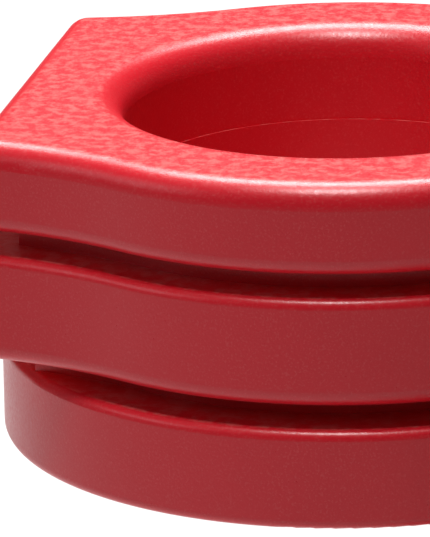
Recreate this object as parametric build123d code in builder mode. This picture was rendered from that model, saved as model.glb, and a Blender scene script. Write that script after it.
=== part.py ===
from build123d import *
import os
from math import asin, atan2, cos, degrees, radians, sin, sqrt

# Water-filled traffic barrier, in mm. +Z is up, X runs along the barrier and the origin is the middle of
# its footprint on the ground. The left end carries an overhanging coupling lug, a hollow moulding of its
# own that is bolted into the end of the ridge. The right end carries a socket and an upstanding post that
# take the lug of the next barrier, which can then swing about the post.

# ---- coupling and overall size ----
PITCH = 2000.0  # from the axis of the lug to the axis of the post
TOP_Z = 900.0  # top of the ridge and the lug
HUB_R = 124.3  # round hub in the two upper tiers
SPIGOT_R = 125.0  # round spigot under the hub
EAR = 120.0  # from the hub axis to the square end of the ear
RIDGE_HALF = 85.4  # half the width of the ridge
BLEND_R = 166.8  # concave blend between hub and ridge
NOSE_R = 146.0  # round column that carries the socket
XH = (SPIGOT_R - PITCH - NOSE_R) / 2  # axis of the lug
XP = XH + PITCH  # axis of the post
WALL = 6.0

# ---- levels of the lug and the ridge ----
SPIGOT_LOW = 776.0
SHOULDER_Z = 812.1  # top of the body and of the spigot
TIER2_LOW = 820.2
TIER2_TOP = 859.4
TIER1_LOW = 867.6
GROOVE = 16.0  # depth of the groove between the two tiers
UNDERCUT = 20.0  # depth of the groove under the lower tier
TOP_ROUND = 8.7
LIP_ROUND = 6.0
EDGE_ROUND = 3.5
EAR_CORNER = 9.0
TIERS = ((TIER1_LOW, TOP_Z, TOP_ROUND), (TIER2_LOW, TIER2_TOP, EDGE_ROUND))
NECKS = ((TIER2_TOP, TIER1_LOW, GROOVE), (SHOULDER_Z, TIER2_LOW, UNDERCUT))

# ---- bore of the lug ----
BORE_R = 78.6
BORE_UPPER_R = 79.3
BORE_STEP_Z = SPIGOT_LOW + 89.6
BORE_LIP = 11.0

# ---- joint between the lug and the ridge: a tenon held by four bolts from above ----
JOINT_X = XH + 180.0
TENON_LENGTH = 80.0
TENON_HALF = 50.0
TENON_LOW = 832.0
TENON_TOP = 887.5
TENON_ROUND = 6.0
TENON_GAP = 0.5
LUG_BOLT_X = (26.0, 60.0)
LUG_BOLT_Y = 28.0
LUG_BOLT_R = 6.0
LUG_BOLT_LENGTH = 34.0
LUG_BOLT_HEAD_R = 10.5
LUG_BOLT_HEAD = 6.0
LUG_WASHER_R = 14.0
LUG_WASHER = 2.0
LUG_BOLT_SOCKET = 3.6  # depth of the hexagon socket in its head
LUG_INSERT_R = 9.0
LUG_INSERT_LENGTH = 25.0
LUG_INSERT_LOW = TENON_TOP - LUG_INSERT_LENGTH

# ---- socket and post for the next barrier ----
SOCKET_R = 128.0
SOCKET_LIP = 5.0
POST_R = 77.4
POST_TOP = 872.0  # below the top of the next barrier's lug, which leaves room for the lock in its bore
POST_ROUND = 3.0
RIDGE_END = XP - 134.0

# ---- body ----
BASE_Z = 4.0  # underside of the shell, which stands on its rubber pads
BODY_LEFT = XH + 155.0
BODY_RIGHT = XP + 92.0
BX = (BODY_LEFT + BODY_RIGHT) / 2
BASE_HALF = 300.0
TOE_Z = 96.0
WAIST_HALF = 205.0
WAIST_Z = 300.0
SHOULDER_HALF = 166.0
END_ROUND = 18.0
SECTION_ROUNDS = (10.0, 34.0, 90.0, 14.0)  # at the base, the toe, the waist and the shoulder
LEAN = degrees(atan2(WAIST_HALF - SHOULDER_HALF, SHOULDER_Z - WAIST_Z))

# ---- hollows of the body ----
FORK_X = 420.0
FORK_WIDTH = 230.0
FORK_HEIGHT = 100.0
FORK_ROUND = 22.0
FLUTE_X = (-430.0, -215.0, 215.0, 430.0)
FLUTE_LENGTH = 380.0
FLUTE_WIDTH = 92.0
FLUTE_DEPTH = 13.0
FLUTE_Z = 560.0
FLUTE_DRAFT = 12.0

# ---- filler, in the middle of the ridge, with a hinged lid ----
FILLER_HOLE_R = 51.0
FILLER_BORE_R = 45.0
FILLER_LENGTH = 42.0
FILLER_FLANGE_R = 66.0
FILLER_FLANGE = 4.0
FILLER_SEAL = 2.5
LID_R = 60.0
LID_THICKNESS = 8.0
LID_SKIRT_R = 44.0
LID_SKIRT = 8.0
LID_TAB = 26.0
LID_TAB_WIDTH = 20.0
LID_TAB_THICKNESS = 4.8
LID_SKIRT_WALL = 4.0
LID_RIM = 8.0
LID_DISH = 2.0
LID_RIBS = 4
LID_RIB = 4.0
LID_RIB_HEIGHT = 1.6
LID_BOSS_R = 16.0
LID_ROUND = 2.5
LID_ARM = 6.0
FLANGE_ROUND = 1.5
GASKET_R = 53.0
HINGE_X = 68.0  # from the filler's axis to the hinge pin
HINGE_Z = TOP_Z + 10.0
HINGE_R = 5.0
HINGE_PIN_R = 2.5
HINGE_FIT = 0.05
HINGE_HALF = 25.0
KNUCKLE_HALF = 15.6
EAR_HALF = 8.4

# ---- drains: the front one near the left end, the back one near the right end ----
DRAIN_X = 745.0
DRAIN_Z = 52.0
DRAIN_RECESS_R = 31.0
DRAIN_RECESS = 15.0
DRAIN_HOLE_R = 21.0
DRAIN_BORE_R = 15.0
DRAIN_FLANGE = 3.0
DRAIN_SEAL = 3.0
DRAIN_LENGTH = 38.0
DRAIN_FLANGE_R = 27.0
DRAIN_HEAD_R = 24.0
DRAIN_HEX = 30.0  # across the flats
DRAIN_HEX_HEIGHT = 4.5
DRAIN_PLUG_LENGTH = 30.0
DRAIN_PITCH = 4.0
PLUG_GAP = 0.5  # clearance between a screw plug and its bush
THREAD_DEPTH = 1.5
PLUG_HOLLOW_R = 8.0
PLUG_EDGE = 0.8

# ---- fence sleeves ----
SLEEVE_X = 600.0
SLEEVE_R = 30.0
SLEEVE_BORE_R = 26.0
SLEEVE_DEPTH = 200.0
SLEEVE_FLANGE_R = 38.0
SLEEVE_FLANGE = 3.0
SLEEVE_FLOOR = 5.0

# ---- lock on the post: its rubber ring, once squeezed, grips the bore of the next barrier's lug ----
LOCK_INSERT_R = 20.0
LOCK_INSERT_LENGTH = 50.0
LOCK_STUD_R = 10.0
LOCK_STUD_DROP = 34.0  # how far the stud reaches below the top of the post
LOCK_STUD_PLAY = 5.0  # room under the stud
LOCK_GAP = 0.4
LOCK_RING_R = 14.0
LOCK_RING = 2.0
LOCK_RING_PLAY = 0.3
LOCK_COUNTERBORE_R = 15.5
LOCK_COUNTERBORE = 3.5
GRIP_R = 75.5
GRIP_BORE_R = 24.0
GRIP = 16.0
GRIP_GROOVE = 3.0  # depth and half height of the groove round the rubber ring
LOCK_DISC_R = 75.0
LOCK_DISC = 9.0
LOCK_DISC_ROUND = 2.0
LOCK_DISH_R = (30.0, 63.0)
LOCK_DISH = 3.0
LOCK_WASHER_R = 22.0
LOCK_WASHER = 2.0
LOCK_KNOB_R = 36.0
LOCK_KNOB = 26.0
LOCK_LOBES = 6
LOCK_LOBE_R = 16.0
LOCK_LOBE_REACH = 43.0  # from the axis to the centre of each finger hollow
LOCK_KNOB_ROUND = 4.0
STUD_IN_KNOB = 13.0
STUD_EDGE = 1.2

# ---- reflectors ----
REFLECTOR_X = (-650.0, 0.0, 650.0)
REFLECTOR_Z = 640.0
REFLECTOR_LENGTH = 178.0
REFLECTOR_WIDTH = 56.0
REFLECTOR_DEPTH = 6.0
REFLECTOR_GAP = 0.5
REFLECTOR_CORNER = 8.0
FRAME_PLATE = 3.0
FRAME_RIM = 2.2
FRAME_RIM_HEIGHT = 2.2
LENS_LENGTH = 140.0
LENS_WIDTH = 46.0
LENS_THICKNESS = 2.6
LENS_CORNER = 4.0
LENS_ROUND = 0.8
RIVET_SPACING = 161.0
RIVET_R = 2.4
RIVET_HEAD_R = 4.5
RIVET_HEAD = 1.6

# ---- feet ----
FOOT_X = 740.0
FOOT_Y = 190.0
FOOT_LENGTH = 200.0
FOOT_WIDTH = 90.0
FOOT_HEIGHT = 10.0
FOOT_CORNER = 10.0
FOOT_SCREW_SPACING = 130.0
FOOT_SCREW_R = 3.0
FOOT_SCREW_TOP = 30.0
FOOT_SCREW_HEAD_R = 7.0
FOOT_SCREW_SINK = 2.5  # how far the head lies above the ground

os.makedirs("parts", exist_ok=True)


def keep(part, name):
    """Label one finished piece and write it out."""
    part.label = name
    export_step(part, f"parts/{name}.step")


def ring(plane, outer, inner, low, high):
    """Disc about a plane's axis, between two heights over the plane, with a hole if inner isn't zero."""
    with BuildPart() as disc:
        with BuildSketch(plane.offset(low)):
            Circle(outer)
            if inner:
                Circle(inner, mode=Mode.SUBTRACT)
        extrude(amount=high - low)
    return disc.part


def cylinder(x, radius, low, high):
    """Upright cylinder on the barrier's centre line."""
    return ring(Plane((x, 0, 0)), radius, 0, low, high)


def side_half_width(z):
    """Half the width of the body's steep side at a height."""
    return WAIST_HALF + (SHOULDER_HALF - WAIST_HALF) * (z - WAIST_Z) / (SHOULDER_Z - WAIST_Z)


def side_plane(x, z, side):
    """Plane on the steep side, facing out; side is -1 at the front and 1 at the back."""
    lean = radians(LEAN)
    out = (0, side * cos(lean), sin(lean))
    return Plane(origin=(x, side * side_half_width(z), z), x_dir=(-side, 0, 0), z_dir=out)


def lug_layer(low, high, inset, wall):
    """One flat layer of the lug: square ear, round hub, and a straight neck that ends at the joint."""
    blend_y = RIDGE_HALF + BLEND_R
    blend_x = sqrt((HUB_R + BLEND_R) ** 2 - blend_y**2)
    blend_r = BLEND_R + inset
    half = RIDGE_HALF - inset
    hub_turn = degrees(atan2(blend_y, blend_x))
    ear_x = XH - EAR + inset
    ear_turn = degrees(asin((blend_x - EAR + inset) / blend_r))
    with BuildPart() as layer:
        with BuildSketch(Plane.XY.offset(low)) as outline:
            with BuildLine():
                ear_side = CenterArc((XH - blend_x, blend_y), blend_r, ear_turn - 90, 90 - hub_turn - ear_turn)
                CenterArc((XH, 0), HUB_R - inset, 180 - hub_turn, 2 * hub_turn - 180)
                CenterArc((XH + blend_x, blend_y), blend_r, 180 + hub_turn, 90 - hub_turn)
                Line((XH + blend_x, half), (JOINT_X - wall, half))
                mirror(about=Plane.XZ)
                ear_corner = ear_side @ 0
                Line((ear_x, ear_corner.Y), (ear_x, -ear_corner.Y))
                Line((JOINT_X - wall, half), (JOINT_X - wall, -half))
            make_face()
            if not inset:
                fillet(outline.vertices().group_by(Axis.X)[0], EAR_CORNER)
        extrude(amount=high - low)
    return layer.part


def ridge_layer(low, high, inset, wall):
    """One flat layer of the ridge, from the joint to the ridge's square end."""
    with BuildPart() as layer:
        with BuildSketch(Plane.XY.offset(low)) as outline:
            with Locations(((JOINT_X + wall + RIDGE_END - inset) / 2, 0)):
                Rectangle(RIDGE_END - inset - JOINT_X - wall, 2 * (RIDGE_HALF - inset))
            if not inset:
                fillet(outline.vertices().group_by(Axis.X)[-1], EAR_CORNER)
        extrude(amount=high - low)
    return layer.part


def outer_edges(face):
    """The edges round a flat face, apart from the one in the joint between the lug and the ridge."""
    return [edge for edge in face.outer_wire().edges() if abs(edge.center().X - JOINT_X) > 1]


def rounded_tier(layer, low, high, upper_round):
    """One outer tier with its upper and lower edges rounded."""
    with BuildPart() as tier:
        add(layer(low, high, 0, 0))
        fillet(outer_edges(tier.faces().sort_by(Axis.Z)[-1]), upper_round)
        fillet(outer_edges(tier.faces().sort_by(Axis.Z)[0]), LIP_ROUND)
    return tier.part


def outer_stack(layer, overlap=0):
    """Outside of both tiers, and of the necks under them, which reach down by the overlap."""
    with BuildPart() as stack:
        for low, high, upper_round in TIERS:
            add(rounded_tier(layer, low, high, upper_round))
        for low, high, depth in NECKS:
            add(layer(low - overlap, high + 1, depth, 0))
    return stack.part


def inner_stack(layer):
    """Space inside both tiers and the necks under them."""
    with BuildPart() as stack:
        for low, high, _ in TIERS:
            add(layer(low + WALL, high - WALL, WALL, WALL))
        for low, high, depth in NECKS:
            add(layer(low - WALL, high + WALL + 1, depth + WALL, WALL))
    return stack.part


def body_form(inset):
    """Long body: upright toe, slope, steep side, and the round column at its right end."""
    with BuildPart() as form:
        with BuildSketch(Plane.YZ.offset(BODY_LEFT + inset)) as section:
            with BuildLine():
                Polyline(
                    (BASE_HALF, BASE_Z),
                    (BASE_HALF, TOE_Z),
                    (WAIST_HALF, WAIST_Z),
                    (SHOULDER_HALF, SHOULDER_Z),
                    (-SHOULDER_HALF, SHOULDER_Z),
                    (-WAIST_HALF, WAIST_Z),
                    (-BASE_HALF, TOE_Z),
                    (-BASE_HALF, BASE_Z),
                    close=True,
                )
            make_face()
            if inset:
                offset(amount=-inset, kind=Kind.INTERSECTION)
            levels = section.vertices().group_by(Axis.Y)
            for corners, radius in zip(levels, SECTION_ROUNDS):
                fillet(corners, radius)
        extrude(amount=BODY_RIGHT - BODY_LEFT - 2 * inset)
        if not inset:
            fillet(form.faces().sort_by(Axis.X)[0].outer_wire().edges(), END_ROUND)
            fillet(form.faces().sort_by(Axis.X)[-1].outer_wire().edges(), END_ROUND)
        add(cylinder(XP, NOSE_R - inset, BASE_Z + inset, SHOULDER_Z - inset))
    return form.part


def fork_slots(grow):
    """Two openings across the base for forklift tines."""
    with BuildPart() as slots:
        with BuildSketch(Plane.XZ.offset(-2 * BASE_HALF)) as mouth:
            with Locations((BX - FORK_X, 0), (BX + FORK_X, 0)):
                Rectangle(FORK_WIDTH + 2 * grow, 2 * (FORK_HEIGHT + grow))
            fillet(mouth.vertices(), FORK_ROUND + grow)
        extrude(amount=4 * BASE_HALF)
    return slots.part


def flutes(grow):
    """Upright stiffening flutes in both steep sides."""
    with BuildPart() as grooves:
        for side in (-1, 1):
            for x in FLUTE_X:
                with BuildSketch(side_plane(BX + x, FLUTE_Z, side)):
                    SlotOverall(FLUTE_LENGTH + 2 * grow, FLUTE_WIDTH + 2 * grow, rotation=90)
                extrude(amount=FLUTE_DEPTH + grow, both=True, taper=FLUTE_DRAFT)
    return grooves.part


def reflector_planes():
    """Planes of the three reflectors on each side, front first."""
    return [side_plane(BX + x, REFLECTOR_Z, side) for side in (-1, 1) for x in REFLECTOR_X]


def reflector_pockets(grow):
    """Shallow pockets that hold the reflectors."""
    with BuildPart() as pockets:
        for plane in reflector_planes():
            with BuildSketch(plane):
                length = REFLECTOR_LENGTH + 2 * grow
                RectangleRounded(length, REFLECTOR_WIDTH + 2 * grow, REFLECTOR_CORNER + grow)
            extrude(amount=REFLECTOR_DEPTH + grow, both=True)
    return pockets.part


def drain_plane(side):
    """Plane on the toe at a drain, facing out."""
    centre = (BX + side * DRAIN_X, side * BASE_HALF, DRAIN_Z)
    return Plane(origin=centre, x_dir=(-side, 0, 0), z_dir=(0, side, 0))


def drain_hollows(grow):
    """Recess and hole of both drains."""
    with BuildPart() as hollows:
        for side in (-1, 1):
            with BuildSketch(drain_plane(side)):
                Circle(DRAIN_RECESS_R + grow)
            extrude(amount=DRAIN_RECESS + grow, both=True)
            with BuildSketch(drain_plane(side)):
                Circle(DRAIN_HOLE_R)
            extrude(amount=-DRAIN_RECESS - DRAIN_LENGTH)
    return hollows.part


def foot_places():
    """Centres of the four rubber pads."""
    return [(BX + x, y) for x in (-FOOT_X, FOOT_X) for y in (-FOOT_Y, FOOT_Y)]


def foot_screw_places():
    """Centres of the screws, two in each pad."""
    half = FOOT_SCREW_SPACING / 2
    return [(x + dx, y) for x, y in foot_places() for dx in (-half, half)]


def foot_recesses(grow):
    """Recesses for the pads, and the bosses around their screws."""
    with BuildPart() as recesses:
        with BuildSketch():
            with Locations(*foot_places()):
                RectangleRounded(FOOT_LENGTH + 2 * grow, FOOT_WIDTH + 2 * grow, FOOT_CORNER + grow)
        extrude(amount=FOOT_HEIGHT + grow)
        with BuildSketch():
            with Locations(*foot_screw_places()):
                Circle(FOOT_SCREW_R + grow)
        extrude(amount=FOOT_SCREW_TOP + grow)
    return recesses.part


def lug_bore(grow):
    """Round bore through the lug, with a rolled lip at the top and a small step where the mould halves meet."""
    low, high = SPIGOT_LOW - 1, TOP_Z + 1
    upper = BORE_UPPER_R + grow
    lower = BORE_R + grow
    lip = BORE_LIP
    with BuildPart() as bore:
        with BuildSketch(Plane.XZ):
            with BuildLine():
                Polyline((XH, low), (XH + lower, low), (XH + lower, BORE_STEP_Z), (XH + upper, BORE_STEP_Z))
                if grow:
                    Polyline((XH + upper, BORE_STEP_Z), (XH + upper, high), (XH, high))
                else:
                    Line((XH + upper, BORE_STEP_Z), (XH + upper, TOP_Z - lip))
                    RadiusArc((XH + upper, TOP_Z - lip), (XH + upper + lip, TOP_Z), lip)
                    Polyline((XH + upper + lip, TOP_Z), (XH + upper + lip, high), (XH, high))
                Line((XH, high), (XH, low))
            make_face()
        revolve(axis=Axis((XH, 0, 0), (0, 0, 1)))
    return bore.part


def socket(grow):
    """Round socket for the next barrier's spigot, with a rounded lip."""
    low = SPIGOT_LOW - grow
    radius = SOCKET_R + grow
    lip = SOCKET_LIP
    high = SHOULDER_Z + 1
    with BuildPart() as recess:
        with BuildSketch(Plane.XZ):
            with BuildLine():
                Polyline((XP, high), (XP, low), (XP + radius, low), (XP + radius, SHOULDER_Z - lip))
                RadiusArc((XP + radius, SHOULDER_Z - lip), (XP + radius + lip, SHOULDER_Z), lip)
                Polyline((XP + radius + lip, SHOULDER_Z), (XP + radius + lip, high), (XP, high))
            make_face()
        revolve(axis=Axis((XP, 0, 0), (0, 0, 1)))
    return recess.part


def tenon(start_x, grow):
    """Block that slides into the end of the ridge."""
    end_x = JOINT_X + TENON_LENGTH + grow
    with BuildPart() as block:
        with BuildSketch(Plane.YZ.offset(start_x)):
            with Locations((0, (TENON_LOW + TENON_TOP) / 2)):
                width = 2 * (TENON_HALF + grow)
                RectangleRounded(width, TENON_TOP - TENON_LOW + 2 * grow, TENON_ROUND + max(grow, 0))
        extrude(amount=end_x - start_x)
    return block.part


def lug_bolt_places():
    """Centres of the four bolts that hold the lug."""
    return [(JOINT_X + x, y) for x in LUG_BOLT_X for y in (-LUG_BOLT_Y, LUG_BOLT_Y)]


def at_lug_bolts(outer, inner, low, high):
    """Ring round each of the four lug bolts."""
    with BuildPart() as rings:
        with BuildSketch(Plane.XY.offset(low)):
            with Locations(*lug_bolt_places()):
                Circle(outer)
            if inner:
                with Locations(*lug_bolt_places()):
                    Circle(inner, mode=Mode.SUBTRACT)
        extrude(amount=high - low)
    return rings.part


def spigot():
    """Round spigot under the hub, with rounded edges."""
    with BuildPart() as disc:
        add(cylinder(XH, SPIGOT_R, SPIGOT_LOW, SHOULDER_Z))
        fillet(disc.edges().filter_by(GeomType.CIRCLE), EDGE_ROUND)
    return disc.part


def post():
    """Round coupling post with a rounded top."""
    with BuildPart() as column:
        add(cylinder(XP, POST_R, SPIGOT_LOW - WALL / 2, POST_TOP))
        fillet(column.edges().filter_by(GeomType.CIRCLE).sort_by(Axis.Z)[-1], POST_ROUND)
    return column.part


def screw_plug(plane, radius, length, pitch, hollow_r):
    """Threaded tube that hangs below a plane, with its thread as separate rings."""
    with BuildPart() as plug:
        add(ring(plane, radius - THREAD_DEPTH, hollow_r, -length, 0))
        turns = int(length / pitch)
        for turn in range(turns):
            crest = -length + pitch * (turn + 0.5)
            with BuildSketch(Plane(plane.origin, plane.x_dir, -plane.y_dir)):
                with BuildLine():
                    Polyline(
                        (radius - THREAD_DEPTH - 1, crest - 0.35 * pitch),
                        (radius, crest - 0.1 * pitch),
                        (radius, crest + 0.1 * pitch),
                        (radius - THREAD_DEPTH - 1, crest + 0.35 * pitch),
                        close=True,
                    )
                make_face()
            revolve(axis=Axis(plane.origin, plane.z_dir))
    return plug.part


def lug_hollow():
    """Air space inside the lug."""
    with BuildPart() as hollow:
        add(inner_stack(lug_layer))
        add(cylinder(XH, SPIGOT_R - WALL, SPIGOT_LOW + WALL, SHOULDER_Z - WALL))
        add(tenon(JOINT_X - 2 * WALL, -WALL))
        add(lug_bore(WALL), mode=Mode.SUBTRACT)
        add(at_lug_bolts(LUG_INSERT_R + WALL, 0, LUG_INSERT_LOW - WALL, TENON_TOP), mode=Mode.SUBTRACT)
    return hollow.part


def tank():
    """Water space inside the shell: the outer form drawn in by the wall, less the walls around every hollow."""
    with BuildPart() as water:
        add(body_form(WALL))
        add(inner_stack(ridge_layer))
        add(tenon(JOINT_X, TENON_GAP + WALL), mode=Mode.SUBTRACT)
        add(socket(WALL), mode=Mode.SUBTRACT)
        add(fork_slots(WALL), mode=Mode.SUBTRACT)
        add(flutes(WALL), mode=Mode.SUBTRACT)
        add(reflector_pockets(WALL), mode=Mode.SUBTRACT)
        add(drain_hollows(WALL), mode=Mode.SUBTRACT)
        add(foot_recesses(WALL), mode=Mode.SUBTRACT)
        add(cylinder(XP, POST_R - WALL, SPIGOT_LOW - 2 * WALL, POST_TOP - WALL))
        insert_low = POST_TOP - LOCK_INSERT_LENGTH
        add(cylinder(XP, LOCK_INSERT_R + WALL, insert_low - WALL, POST_TOP), mode=Mode.SUBTRACT)
    return water.part


# ---- lug: square ear, round hub with its bore, spigot underneath, and the tenon ----
with BuildPart() as coupling_lug:
    add(outer_stack(lug_layer))
    add(spigot())
    add(tenon(JOINT_X - WALL, 0))
    add(lug_bore(0), mode=Mode.SUBTRACT)
    add(lug_hollow(), mode=Mode.SUBTRACT)
    add(at_lug_bolts(LUG_INSERT_R, 0, LUG_INSERT_LOW, TENON_TOP), mode=Mode.SUBTRACT)
keep(coupling_lug.part, "coupling_lug")

with BuildPart() as lug_inserts:
    add(at_lug_bolts(LUG_INSERT_R, LUG_BOLT_R, LUG_INSERT_LOW, TENON_TOP))
keep(lug_inserts.part, "lug_inserts")

with BuildPart() as lug_washers:
    add(at_lug_bolts(LUG_WASHER_R, LUG_BOLT_R, TOP_Z, TOP_Z + LUG_WASHER))
keep(lug_washers.part, "lug_washers")

with BuildPart() as lug_bolts:
    head_low = TOP_Z + LUG_WASHER
    add(at_lug_bolts(LUG_BOLT_R, 0, head_low - LUG_BOLT_LENGTH, head_low))
    add(at_lug_bolts(LUG_BOLT_HEAD_R, 0, head_low, head_low + LUG_BOLT_HEAD))
    fillet(lug_bolts.edges().group_by(Axis.Z)[-1], LUG_BOLT_HEAD / 2)
    with BuildSketch(Plane.XY.offset(head_low + LUG_BOLT_HEAD)):
        with Locations(*lug_bolt_places()):
            RegularPolygon(LUG_BOLT_R / 2, 6)
    extrude(amount=-LUG_BOLT_SOCKET, mode=Mode.SUBTRACT)
keep(lug_bolts.part, "lug_bolts")

# ---- shell ----
with BuildPart() as shell:
    add(body_form(0))
    add(outer_stack(ridge_layer, overlap=1))
    add(tenon(JOINT_X - 1, TENON_GAP), mode=Mode.SUBTRACT)
    add(socket(0), mode=Mode.SUBTRACT)
    add(post())
    add(fork_slots(0), mode=Mode.SUBTRACT)
    add(flutes(0), mode=Mode.SUBTRACT)
    add(reflector_pockets(0), mode=Mode.SUBTRACT)
    add(drain_hollows(0), mode=Mode.SUBTRACT)
    add(foot_recesses(0), mode=Mode.SUBTRACT)
    add(tank(), mode=Mode.SUBTRACT)
    add(cylinder(BX, FILLER_HOLE_R, TOP_Z - 2 * WALL, TOP_Z + 1), mode=Mode.SUBTRACT)
    for sleeve_x in (BX - SLEEVE_X, BX + SLEEVE_X):
        add(cylinder(sleeve_x, SLEEVE_R, TOP_Z - 2 * WALL, TOP_Z + 1), mode=Mode.SUBTRACT)
    add(cylinder(XP, LOCK_INSERT_R, POST_TOP - LOCK_INSERT_LENGTH, POST_TOP + 1), mode=Mode.SUBTRACT)
    add(at_lug_bolts(LUG_BOLT_R, 0, TENON_TOP - 1, TOP_Z + 1), mode=Mode.SUBTRACT)
    for rivet_plane in reflector_planes():
        with BuildSketch(rivet_plane):
            with GridLocations(RIVET_SPACING, 0, 2, 1):
                Circle(RIVET_R)
        extrude(amount=-2 * REFLECTOR_DEPTH - WALL, mode=Mode.SUBTRACT)
keep(shell.part, "shell")

# ---- filler: neck in the ridge with its hinge ears, flat seal, hinged lid and hinge pin ----
FILLER = Plane((BX, 0, 0))
FLANGE_Z = TOP_Z + FILLER_FLANGE
LID_Z = FLANGE_Z + FILLER_SEAL
LID_TOP = LID_Z + LID_THICKNESS

with BuildPart() as filler_insert:
    add(ring(FILLER, FILLER_HOLE_R, 0, TOP_Z - FILLER_LENGTH, TOP_Z))
    with BuildSketch(Plane.XY.offset(TOP_Z)):
        with Locations((BX, 0)):
            Circle(FILLER_FLANGE_R)
        with Locations((BX + HINGE_X / 2 + HINGE_R, 0)):
            Rectangle(HINGE_X + HINGE_R, 2 * HINGE_HALF + 2)
    extrude(amount=FILLER_FLANGE)
    fillet(filler_insert.faces().sort_by(Axis.Z)[-1].outer_wire().edges(), FLANGE_ROUND)
    for ear_y in (-HINGE_HALF, HINGE_HALF - EAR_HALF):
        with BuildSketch(Plane.XZ.offset(-ear_y - EAR_HALF)):
            with Locations((BX + HINGE_X, HINGE_Z)):
                Circle(HINGE_R)
            with Locations((BX + HINGE_X, (FLANGE_Z + HINGE_Z) / 2)):
                Rectangle(2 * HINGE_R, HINGE_Z - FLANGE_Z)
            with Locations((BX + HINGE_X, HINGE_Z)):
                Circle(HINGE_PIN_R, mode=Mode.SUBTRACT)
        extrude(amount=EAR_HALF)
    add(ring(FILLER, FILLER_BORE_R, 0, TOP_Z - FILLER_LENGTH, FLANGE_Z), mode=Mode.SUBTRACT)
keep(filler_insert.part, "filler_insert")

with BuildPart() as filler_gasket:
    add(ring(FILLER, GASKET_R, FILLER_BORE_R + 1, FLANGE_Z, LID_Z))
keep(filler_gasket.part, "filler_gasket")

with BuildPart() as filler_lid:
    add(ring(FILLER, LID_R, 0, LID_Z, LID_TOP))
    fillet(filler_lid.edges().sort_by(Axis.Z)[-1], LID_ROUND)
    add(ring(FILLER, LID_R - LID_RIM, 0, LID_TOP - LID_DISH, LID_TOP), mode=Mode.SUBTRACT)
    with BuildSketch(Plane.XY.offset(LID_TOP - LID_DISH)):
        with Locations((BX, 0)):
            for turn in range(LID_RIBS):
                Rectangle(2 * (LID_R - LID_RIM), LID_RIB, rotation=180 * turn / LID_RIBS)
            Circle(LID_BOSS_R)
    extrude(amount=LID_RIB_HEIGHT)
    with BuildSketch(Plane.XY.offset(LID_Z)):
        with Locations((BX - LID_R, 0)):
            SlotOverall(LID_TAB, LID_TAB_WIDTH, rotation=90)
        with Locations((BX, 0)):
            Circle(LID_R - LID_RIM / 2, mode=Mode.SUBTRACT)
    extrude(amount=LID_TAB_THICKNESS)
    add(ring(FILLER, LID_SKIRT_R, LID_SKIRT_R - LID_SKIRT_WALL, LID_Z - LID_SKIRT, LID_Z))
    with BuildSketch(Plane.XZ.offset(-KNUCKLE_HALF)):
        with Locations((BX + HINGE_X, HINGE_Z)):
            Circle(HINGE_R)
        with Locations((BX + (LID_R - LID_RIM / 2 + HINGE_X) / 2, HINGE_Z)):
            Rectangle(HINGE_X - LID_R + LID_RIM / 2, LID_ARM)
    extrude(amount=2 * KNUCKLE_HALF)
    with BuildSketch(Plane.XZ.offset(-KNUCKLE_HALF)):
        with Locations((BX + HINGE_X, HINGE_Z)):
            Circle(HINGE_PIN_R + HINGE_FIT)
    extrude(amount=2 * KNUCKLE_HALF, mode=Mode.SUBTRACT)
keep(filler_lid.part, "filler_lid")

with BuildPart() as filler_hinge_pin:
    with BuildSketch(Plane.XZ.offset(-HINGE_HALF)):
        with Locations((BX + HINGE_X, HINGE_Z)):
            Circle(HINGE_PIN_R)
    extrude(amount=2 * HINGE_HALF)
keep(filler_hinge_pin.part, "filler_hinge_pin")

# ---- drains: bush, seal and hexagon-headed screw plug on each side ----
for side_name, side in (("front", -1), ("back", 1)):
    drain = drain_plane(side)
    floor = -DRAIN_RECESS
    seal = floor + DRAIN_FLANGE
    head = seal + DRAIN_SEAL

    with BuildPart() as drain_insert:
        add(ring(drain, DRAIN_HOLE_R, DRAIN_BORE_R, floor - DRAIN_LENGTH, floor))
        add(ring(drain, DRAIN_FLANGE_R, DRAIN_BORE_R, floor, seal))
    keep(drain_insert.part, f"drain_insert_{side_name}")

    with BuildPart() as drain_seal:
        add(ring(drain, DRAIN_HEAD_R - 1.5, DRAIN_BORE_R + 1, seal, head))
    keep(drain_seal.part, f"drain_seal_{side_name}")

    with BuildPart() as drain_plug:
        add(ring(drain, DRAIN_HEAD_R, 0, head, head + DRAIN_FLANGE))
        fillet(drain_plug.edges().filter_by(GeomType.CIRCLE), PLUG_EDGE)
        with BuildSketch(drain.offset(head + DRAIN_FLANGE)):
            RegularPolygon(DRAIN_HEX / 2, 6, major_radius=False)
        extrude(amount=DRAIN_HEX_HEIGHT)
        outermost = drain_plug.faces().sort_by(Axis(drain.origin, drain.z_dir))[-1]
        chamfer(outermost.outer_wire().edges(), PLUG_EDGE)
        shank_r = DRAIN_BORE_R - PLUG_GAP
        add(screw_plug(drain.offset(head), shank_r, DRAIN_PLUG_LENGTH, DRAIN_PITCH, PLUG_HOLLOW_R))
    keep(drain_plug.part, f"drain_plug_{side_name}")

# ---- fence sleeves: blind tubes in the ridge for the posts of a fence ----
for side_name, sleeve_x in (("left", BX - SLEEVE_X), ("right", BX + SLEEVE_X)):
    axis_plane = Plane((sleeve_x, 0, 0))
    with BuildPart() as fence_sleeve:
        add(ring(axis_plane, SLEEVE_R, SLEEVE_BORE_R, TOP_Z - SLEEVE_DEPTH, TOP_Z))
        add(ring(axis_plane, SLEEVE_R, 0, TOP_Z - SLEEVE_DEPTH - SLEEVE_FLOOR, TOP_Z - SLEEVE_DEPTH))
        add(ring(axis_plane, SLEEVE_FLANGE_R, SLEEVE_BORE_R, TOP_Z, TOP_Z + SLEEVE_FLANGE))
        fillet(fence_sleeve.faces().sort_by(Axis.Z)[-1].outer_wire().edges(), FLANGE_ROUND)
    keep(fence_sleeve.part, f"fence_sleeve_{side_name}")

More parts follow.
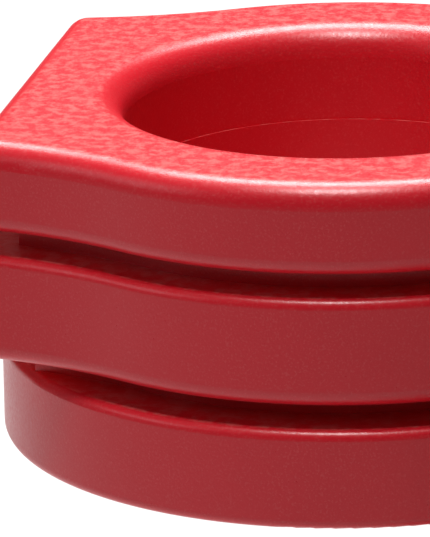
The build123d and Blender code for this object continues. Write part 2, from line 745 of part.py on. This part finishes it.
# ---- lock: bush in the post, rubber ring, pressure disc, washer, and captive screw with its knob ----
LOCK = Plane((XP, 0, 0))
DISC_Z = POST_TOP + GRIP
WASHER_Z = DISC_Z + LOCK_DISC
KNOB_Z = WASHER_Z + LOCK_WASHER
STUD_LOW = POST_TOP - LOCK_STUD_DROP
STUD_TOP = KNOB_Z + STUD_IN_KNOB

with BuildPart() as post_insert:
    add(ring(LOCK, LOCK_INSERT_R, 0, POST_TOP - LOCK_INSERT_LENGTH, POST_TOP))
    add(ring(LOCK, LOCK_STUD_R + LOCK_GAP, 0, STUD_LOW - LOCK_STUD_PLAY, POST_TOP), mode=Mode.SUBTRACT)
    counterbore_low = POST_TOP - LOCK_COUNTERBORE
    add(ring(LOCK, LOCK_COUNTERBORE_R, 0, counterbore_low, POST_TOP), mode=Mode.SUBTRACT)
keep(post_insert.part, "post_insert")

with BuildPart() as lock_grip:
    add(ring(LOCK, GRIP_R, GRIP_BORE_R, POST_TOP, DISC_Z))
    groove_z = POST_TOP + GRIP / 2
    with BuildSketch(Plane.XZ):
        with BuildLine():
            Polyline(
                (XP + GRIP_R - GRIP_GROOVE, groove_z),
                (XP + GRIP_R + 1, groove_z - GRIP_GROOVE - 1),
                (XP + GRIP_R + 1, groove_z + GRIP_GROOVE + 1),
                close=True,
            )
        make_face()
    revolve(axis=Axis((XP, 0, 0), (0, 0, 1)), mode=Mode.SUBTRACT)
keep(lock_grip.part, "lock_grip")

with BuildPart() as lock_disc:
    add(ring(LOCK, LOCK_DISC_R, LOCK_STUD_R + LOCK_GAP, DISC_Z, WASHER_Z))
    fillet(lock_disc.faces().sort_by(Axis.Z)[-1].outer_wire().edges(), LOCK_DISC_ROUND)
    dish_inner, dish_outer = LOCK_DISH_R
    add(ring(LOCK, dish_outer, dish_inner, WASHER_Z - LOCK_DISH, WASHER_Z + 1), mode=Mode.SUBTRACT)
keep(lock_disc.part, "lock_disc")

with BuildPart() as lock_washer:
    add(ring(LOCK, LOCK_WASHER_R, LOCK_STUD_R + LOCK_GAP, WASHER_Z, KNOB_Z))
keep(lock_washer.part, "lock_washer")

with BuildPart() as lock_ring:
    ring_top = POST_TOP - LOCK_RING_PLAY
    add(ring(LOCK, LOCK_RING_R, LOCK_STUD_R, ring_top - LOCK_RING, ring_top))
keep(lock_ring.part, "lock_ring")

with BuildPart() as lock_stud:
    add(ring(LOCK, LOCK_STUD_R, 0, STUD_LOW, STUD_TOP))
    chamfer(lock_stud.edges().filter_by(GeomType.CIRCLE), STUD_EDGE)
keep(lock_stud.part, "lock_stud")

with BuildPart() as lock_knob:
    add(ring(LOCK, LOCK_KNOB_R, 0, KNOB_Z, KNOB_Z + LOCK_KNOB))
    with BuildSketch(LOCK.offset(KNOB_Z)):
        with PolarLocations(LOCK_LOBE_REACH, LOCK_LOBES):
            Circle(LOCK_LOBE_R)
    extrude(amount=LOCK_KNOB, mode=Mode.SUBTRACT)
    fillet(lock_knob.edges().filter_by(Axis.Z), LOCK_KNOB_ROUND - 1)
    fillet(lock_knob.faces().sort_by(Axis.Z)[-1].outer_wire().edges(), LOCK_KNOB_ROUND)
    add(lock_stud.part, mode=Mode.SUBTRACT)
keep(lock_knob.part, "lock_knob")

# ---- reflectors: riveted frame with its lens ----
for number, plane in enumerate(reflector_planes()):
    side_name = ("front", "back")[number // len(REFLECTOR_X)]
    place = number % len(REFLECTOR_X) + 1
    frame_floor = -REFLECTOR_DEPTH
    plate_top = frame_floor + FRAME_PLATE

    with BuildPart() as frame:
        with BuildSketch(plane.offset(frame_floor)):
            length = REFLECTOR_LENGTH - 2 * REFLECTOR_GAP
            RectangleRounded(length, REFLECTOR_WIDTH - 2 * REFLECTOR_GAP, REFLECTOR_CORNER)
            with GridLocations(RIVET_SPACING, 0, 2, 1):
                Circle(RIVET_R, mode=Mode.SUBTRACT)
        extrude(amount=FRAME_PLATE)
        with BuildSketch(plane.offset(plate_top)):
            RectangleRounded(LENS_LENGTH + 2 * FRAME_RIM, LENS_WIDTH + 2 * FRAME_RIM, LENS_CORNER + FRAME_RIM)
            RectangleRounded(LENS_LENGTH, LENS_WIDTH, LENS_CORNER, mode=Mode.SUBTRACT)
        extrude(amount=FRAME_RIM_HEIGHT)
    keep(frame.part, f"reflector_frame_{side_name}_{place}")

    with BuildPart() as lens:
        with BuildSketch(plane.offset(plate_top)):
            RectangleRounded(LENS_LENGTH, LENS_WIDTH, LENS_CORNER)
        extrude(amount=LENS_THICKNESS)
        outward = Axis(plane.origin, plane.z_dir)
        fillet(lens.faces().sort_by(outward)[-1].outer_wire().edges(), LENS_ROUND)
    keep(lens.part, f"reflector_lens_{side_name}_{place}")

with BuildPart() as reflector_rivets:
    for plane in reflector_planes():
        plate_top = FRAME_PLATE - REFLECTOR_DEPTH
        with BuildSketch(plane.offset(plate_top)):
            with GridLocations(RIVET_SPACING, 0, 2, 1):
                Circle(RIVET_R)
        extrude(amount=-FRAME_PLATE - WALL)
        with BuildSketch(plane.offset(plate_top)):
            with GridLocations(RIVET_SPACING, 0, 2, 1):
                Circle(RIVET_HEAD_R)
        extrude(amount=RIVET_HEAD)
keep(reflector_rivets.part, "reflector_rivets")

# ---- feet: rubber pads screwed under the base ----
for number, (foot_x, foot_y) in enumerate(foot_places()):
    with BuildPart() as foot_pad:
        with BuildSketch():
            with Locations((foot_x, foot_y)):
                RectangleRounded(FOOT_LENGTH, FOOT_WIDTH, FOOT_CORNER)
        extrude(amount=FOOT_HEIGHT)
        with BuildSketch():
            with Locations((foot_x, foot_y)):
                with GridLocations(FOOT_SCREW_SPACING, 0, 2, 1):
                    Circle(FOOT_SCREW_HEAD_R)
        extrude(amount=2 * FOOT_SCREW_SINK, mode=Mode.SUBTRACT)
        with BuildSketch():
            with Locations((foot_x, foot_y)):
                with GridLocations(FOOT_SCREW_SPACING, 0, 2, 1):
                    Circle(FOOT_SCREW_R)
        extrude(amount=FOOT_HEIGHT, mode=Mode.SUBTRACT)
    keep(foot_pad.part, f"foot_pad_{number + 1}")

with BuildPart() as foot_screws:
    with BuildSketch(Plane.XY.offset(FOOT_SCREW_SINK)):
        with Locations(*foot_screw_places()):
            Circle(FOOT_SCREW_HEAD_R)
    extrude(amount=FOOT_SCREW_SINK)
    with BuildSketch(Plane.XY.offset(FOOT_SCREW_SINK)):
        with Locations(*foot_screw_places()):
            Circle(FOOT_SCREW_R)
    extrude(amount=FOOT_SCREW_TOP - FOOT_SCREW_SINK)
    with BuildSketch(Plane.XY.offset(FOOT_SCREW_SINK)):
        with Locations(*foot_screw_places()):
            RegularPolygon(FOOT_SCREW_R, 6)
    extrude(amount=FOOT_SCREW_SINK / 2, mode=Mode.SUBTRACT)
keep(foot_screws.part, "foot_screws")
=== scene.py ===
import math

import bmesh
import bpy
from mathutils import Matrix, Quaternion, Vector


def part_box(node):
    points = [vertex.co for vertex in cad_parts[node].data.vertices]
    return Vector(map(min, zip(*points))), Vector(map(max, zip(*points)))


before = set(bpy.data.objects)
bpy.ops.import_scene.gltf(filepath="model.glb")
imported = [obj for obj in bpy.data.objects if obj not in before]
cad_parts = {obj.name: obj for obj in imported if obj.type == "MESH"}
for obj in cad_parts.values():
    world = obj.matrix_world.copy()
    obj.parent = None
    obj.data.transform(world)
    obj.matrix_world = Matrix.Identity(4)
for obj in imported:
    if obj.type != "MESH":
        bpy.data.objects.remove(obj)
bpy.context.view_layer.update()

WHITE = (1, 1, 1)
WARM = (1.0, 0.93, 0.84)
COOL = (0.90, 0.94, 1.0)
UP = Vector((0, 0, 1))

# The camera looks at the coupling lug, at the barrier's left end. The round spigot under the hub is what
# reaches furthest left, so the hub's axis is the spigot's radius further in.
SPIGOT_RADIUS = 0.125
LUG_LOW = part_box("coupling_lug")[0]
HUB = Vector((LUG_LOW.x + SPIGOT_RADIUS, 0, LUG_LOW.z))

# The point that the camera looks at, and where the camera stands as seen from there
AIM = HUB + Vector((-0.0487, 0, 0.0542))
AZIMUTH = math.radians(11.51)
ELEVATION = math.radians(17.36)
DISTANCE = 2.5686
ROLL = -0.01836
SENSOR = 36
LENS = 475.57

FLOOR_REACH = 60
BACKDROP_BEHIND = 3.0  # from the hub to the middle of the floor seen behind it

WORN_EDGE = 0.0015  # how far wear reaches from an edge

# How well the rounded normal agrees with the true one, away from an edge and on it
FLAT, TURNED = 0.995, 0.93

# The numbers of the colour sockets on a Mix node
MIX_FIRST, MIX_SECOND, MIX_RESULT = 6, 7, 2


def direction(azimuth, elevation):
    """The unit vector from a point towards a viewer at that azimuth and elevation."""
    level = math.cos(elevation)
    return Vector((math.sin(azimuth) * level, -math.cos(azimuth) * level, math.sin(elevation)))


# ---------------------------------------------------------------- camera, lights and floor

def add_camera():
    camera = bpy.data.objects.new("camera", bpy.data.cameras.new("camera"))
    bpy.context.scene.collection.objects.link(camera)
    back = direction(AZIMUTH, ELEVATION)
    turn = (-back).to_track_quat("-Z", "Y") @ Quaternion((0, 0, 1), ROLL)
    camera.matrix_world = Matrix.Translation(AIM + back * DISTANCE) @ turn.to_matrix().to_4x4()
    camera.data.sensor_width = SENSOR
    camera.data.lens = LENS
    camera.data.clip_end = 2 * FLOOR_REACH
    bpy.context.scene.camera = camera


def add_softbox(name, target, towards, distance, size, power, colour=WHITE):
    """A rectangular light that looks at the target from the given direction and distance."""
    light = bpy.data.lights.new(name, "AREA")
    light.shape = "RECTANGLE"
    light.size, light.size_y = size
    light.energy = power
    light.color = colour
    lamp = bpy.data.objects.new(name, light)
    bpy.context.scene.collection.objects.link(lamp)
    turn = towards.to_track_quat("Z", "Y").to_matrix().to_4x4()
    lamp.matrix_world = Matrix.Translation(target + towards.normalized() * distance) @ turn
    lamp.visible_camera = False


def add_world(strength, colour):
    world = bpy.data.worlds.new("studio")
    world.use_nodes = True
    background = world.node_tree.nodes["Background"]
    background.inputs["Color"].default_value = (*colour, 1)
    background.inputs["Strength"].default_value = strength
    bpy.context.scene.world = world


def add_floor():
    mesh = bpy.data.meshes.new("floor")
    shape = bmesh.new()
    bmesh.ops.create_grid(shape, x_segments=1, y_segments=1, size=FLOOR_REACH)
    shape.to_mesh(mesh)
    shape.free()
    floor = bpy.data.objects.new("floor", mesh)
    bpy.context.scene.collection.objects.link(floor)
    look = Look("floor_paper")
    look.colour(look.ramp(look.noise(6, detail=3), (0.3, (0.58, 0.58, 0.58)), (0.7, (0.62, 0.62, 0.62))))
    look.value("Roughness", 0.8)
    look.value("Emission Color", (*WHITE, 1))
    look.value("Emission Strength", 0.09)
    mesh.materials.append(look.material)


# ---------------------------------------------------------------- material nodes

class Look:
    """A material in the making: one Principled shader, and short calls that add nodes to it."""

    def __init__(self, name):
        self.material = bpy.data.materials.new(name)
        self.material.use_nodes = True
        self.tree = self.material.node_tree
        self.shader = next(n for n in self.tree.nodes if n.type == "BSDF_PRINCIPLED")
        self.place = self.add("ShaderNodeTexCoord").outputs["Object"]

    def add(self, kind, inputs=None, **settings):
        """Adds a node. Its inputs are given by name or number, each a link or a value."""
        node = self.tree.nodes.new(kind)
        for name, setting in settings.items():
            setattr(node, name, setting)
        for name, source in (inputs or {}).items():
            if isinstance(source, bpy.types.NodeSocket):
                self.tree.links.new(source, node.inputs[name])
            else:
                node.inputs[name].default_value = source
        return node

    def value(self, name, amount):
        """Sets an input that is the same all over the surface."""
        self.shader.inputs[name].default_value = amount

    def link(self, name, source):
        self.tree.links.new(source, self.shader.inputs[name])

    def colour(self, source):
        self.link("Base Color", source)

    def stretched(self, x, y, z):
        """The object's own coordinates, multiplied along each axis."""
        inputs = {0: self.place, 1: (x, y, z)}
        return self.add("ShaderNodeVectorMath", inputs, operation="MULTIPLY").outputs[0]

    def noise(self, scale, detail=2.0, roughness=0.5, place=None):
        inputs = {"Vector": place or self.place, "Scale": scale, "Detail": detail, "Roughness": roughness}
        return self.add("ShaderNodeTexNoise", inputs).outputs["Fac"]

    def cells(self, scale, randomness=1.0, output="Distance"):
        inputs = {"Vector": self.place, "Scale": scale, "Randomness": randomness}
        return self.add("ShaderNodeTexVoronoi", inputs).outputs[output]

    def product(self, first, second):
        return self.add("ShaderNodeMath", {0: first, 1: second}, operation="MULTIPLY").outputs[0]

    def span(self, source, low, high, to_low=0.0, to_high=1.0):
        """Maps low to to_low and high to to_high, smoothly, and holds the ends."""
        inputs = {"Value": source, "From Min": low, "From Max": high, "To Min": to_low, "To Max": to_high}
        return self.add("ShaderNodeMapRange", inputs, interpolation_type="SMOOTHSTEP").outputs[0]

    def ramp(self, source, *stops):
        """A colour ramp between two stops, each a (position, colour) pair."""
        node = self.add("ShaderNodeValToRGB", {"Fac": source})
        for element, (position, colour) in zip(node.color_ramp.elements, stops):
            element.position = position
            element.color = (*colour, 1)
        return node.outputs["Color"]

    def mix(self, amount, first, second):
        """A colour between first, at 0, and second, at 1. Each is a link or a colour."""
        inputs = {0: amount}
        for number, colour in ((MIX_FIRST, first), (MIX_SECOND, second)):
            inputs[number] = (*colour, 1) if isinstance(colour, tuple) else colour
        return self.add("ShaderNodeMix", inputs, data_type="RGBA").outputs[MIX_RESULT]

    def edges(self, radius):
        """1 where the surface turns within that radius, 0 on flat stretches."""
        rounded = self.add("ShaderNodeBevel", {"Radius": radius}, samples=4).outputs[0]
        true = self.add("ShaderNodeNewGeometry").outputs["Normal"]
        agree = self.add("ShaderNodeVectorMath", {0: rounded, 1: true}, operation="DOT_PRODUCT")
        return self.span(agree.outputs["Value"], FLAT, TURNED)

    def upward(self, low, high):
        """1 where the surface faces straight up, 0 where it tilts."""
        normal = self.add("ShaderNodeTexCoord").outputs["Normal"]
        height = self.add("ShaderNodeSeparateXYZ", {0: normal}).outputs["Z"]
        return self.span(height, low, high)

    def bump(self, *layers):
        """Stacks layers of relief, each given as its height source, distance and strength."""
        normal = None
        for height, distance, strength in layers:
            inputs = {"Height": height, "Distance": distance, "Strength": strength}
            if normal:
                inputs["Normal"] = normal
            normal = self.add("ShaderNodeBump", inputs).outputs[0]
        self.link("Normal", normal)


# ---------------------------------------------------------------- the materials

def red_plastic():
    """Moulded polyethylene: fine grain and speckle all over, and a painted sheen of pale flecks on level
    faces.
    """
    look = Look("red_plastic")
    grain = look.noise(700, detail=3, roughness=0.6)
    waves = look.noise(14, detail=1)
    speckle = look.span(look.noise(1300, detail=1), 0.5, 0.8, 0, 0.10)
    # Painted sheen: pale flecks, only on faces that point up, stand in for light reflected off the top
    # faces.
    sheen_flecks = look.span(look.noise(210, detail=5, roughness=0.7), 0.42, 0.62)
    level_sheen = look.product(sheen_flecks, look.upward(0.93, 0.99))
    body = look.ramp(look.noise(9, detail=4), (0.30, (0.66, 0.007, 0.019)), (0.70, (0.73, 0.010, 0.024)))
    speckled = look.mix(speckle, body, (0.85, 0.34, 0.30))
    # The painted sheen flecks lighten the colour of the level faces towards pale pink.
    look.colour(look.mix(look.product(level_sheen, 0.24), speckled, (0.76, 0.44, 0.38)))
    look.link("Roughness", look.span(grain, 0.2, 0.8, 0.27, 0.40))
    look.value("Specular IOR Level", 0.58)
    look.bump((waves, 0.004, 0.08), (grain, 0.0004, 0.20))
    return look.material


def black_plastic():
    look = Look("black_plastic")
    grain = look.noise(900)
    worn = look.edges(WORN_EDGE)
    body = look.ramp(look.noise(30, detail=4), (0.3, (0.012, 0.012, 0.013)), (0.7, (0.022, 0.022, 0.023)))
    look.colour(look.mix(look.product(worn, 0.5), body, (0.09, 0.09, 0.09)))
    look.link("Roughness", look.span(grain, 0.2, 0.8, 0.38, 0.55))
    look.bump((grain, 0.0003, 0.35))
    return look.material


def grey_plastic():
    look = Look("grey_plastic")
    grain = look.noise(800)
    worn = look.edges(WORN_EDGE)
    body = look.ramp(look.noise(25, detail=4), (0.3, (0.20, 0.21, 0.22)), (0.7, (0.27, 0.28, 0.29)))
    look.colour(look.mix(look.product(worn, 0.4), body, (0.5, 0.5, 0.5)))
    look.link("Roughness", look.span(grain, 0.2, 0.8, 0.40, 0.58))
    look.bump((grain, 0.0003, 0.3))
    return look.material


def seal_rubber():
    look = Look("seal_rubber")
    dust = look.span(look.noise(120, detail=5, roughness=0.7), 0.45, 0.75)
    look.colour(look.mix(dust, (0.010, 0.010, 0.010), (0.045, 0.043, 0.040)))
    look.link("Roughness", look.span(dust, 0, 1, 0.60, 0.85))
    look.bump((look.noise(1500), 0.0002, 0.3))
    return look.material


def foot_rubber():
    look = Look("foot_rubber")
    crumbs = look.cells(350)
    shade = look.cells(350, output="Color")
    look.colour(look.ramp(shade, (0.1, (0.012, 0.012, 0.012)), (0.9, (0.06, 0.058, 0.055))))
    look.link("Roughness", look.span(crumbs, 0, 0.6, 0.70, 0.92))
    look.bump((crumbs, 0.0010, 0.6))
    return look.material


def brass():
    look = Look("brass")
    tarnish = look.span(look.noise(60, detail=5, roughness=0.65), 0.42, 0.70)
    turned = look.noise(1, place=look.stretched(60, 2600, 60))
    look.colour(look.mix(tarnish, (0.78, 0.56, 0.22), (0.42, 0.26, 0.10)))
    look.value("Metallic", 1)
    look.link("Roughness", look.span(tarnish, 0, 1, 0.24, 0.50))
    look.bump((turned, 0.0001, 0.4))
    return look.material


def zinc_steel():
    look = Look("zinc_steel")
    spangle = look.cells(260, output="Color")
    stain = look.span(look.noise(80, detail=5, roughness=0.6), 0.50, 0.75)
    zinc = look.ramp(spangle, (0.2, (0.62, 0.64, 0.66)), (0.8, (0.78, 0.79, 0.80)))
    look.colour(look.mix(look.product(stain, 0.5), zinc, (0.55, 0.50, 0.36)))
    look.value("Metallic", 1)
    look.link("Roughness", look.span(stain, 0, 1, 0.30, 0.52))
    look.bump((look.noise(900, detail=3), 0.0001, 0.35))
    return look.material


def rivet_aluminium():
    look = Look("rivet_aluminium")
    dull = look.noise(400, detail=4)
    look.colour(look.ramp(dull, (0.3, (0.78, 0.78, 0.79)), (0.7, (0.90, 0.90, 0.90))))
    look.value("Metallic", 1)
    look.link("Roughness", look.span(dull, 0.2, 0.8, 0.25, 0.45))
    look.bump((look.noise(1200), 0.0001, 0.3))
    return look.material


def amber_lens():
    look = Look("amber_lens")
    prisms = look.cells(240, randomness=0.0)
    tint = look.noise(40)
    deep = look.ramp(prisms, (0.1, (0.95, 0.28, 0.010)), (0.7, (0.50, 0.08, 0.002)))
    look.colour(look.mix(look.product(tint, 0.3), deep, (0.90, 0.22, 0.010)))
    look.value("Roughness", 0.30)
    look.value("Coat Weight", 0.4)
    look.value("Coat Roughness", 0.04)
    look.bump((prisms, 0.0015, 0.5))
    return look.material


LOOKS = (
    red_plastic, black_plastic, grey_plastic, seal_rubber, foot_rubber,
    brass, zinc_steel, rivet_aluminium, amber_lens,
)


def dress_nodes():
    """Gives every CAD node the look of the material slot that the record names for it."""
    looks = {make.__name__: make() for make in LOOKS}
    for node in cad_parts.values():
        for slot in node.material_slots:
            slot.material = looks[slot.material.name.split(".")[0]]


# ---------------------------------------------------------------- the scene

BACKDROP = Vector((HUB.x, HUB.y, 0)) - direction(AZIMUTH, 0) * BACKDROP_BEHIND

bpy.context.scene.view_settings.view_transform = "Standard"
add_camera()
add_world(0.07, WARM)
add_softbox(
    "key", HUB, direction(AZIMUTH - math.radians(15), math.radians(80)),
    distance=4.5, size=(0.6, 1.4), power=126,
)
add_softbox(
    "side", HUB, direction(AZIMUTH - math.radians(75), math.radians(30)),
    distance=5, size=(2.5, 2), power=24, colour=COOL,
)
add_softbox("backdrop", BACKDROP, UP, distance=5, size=(3, 3), power=400)
add_floor()
dress_nodes()
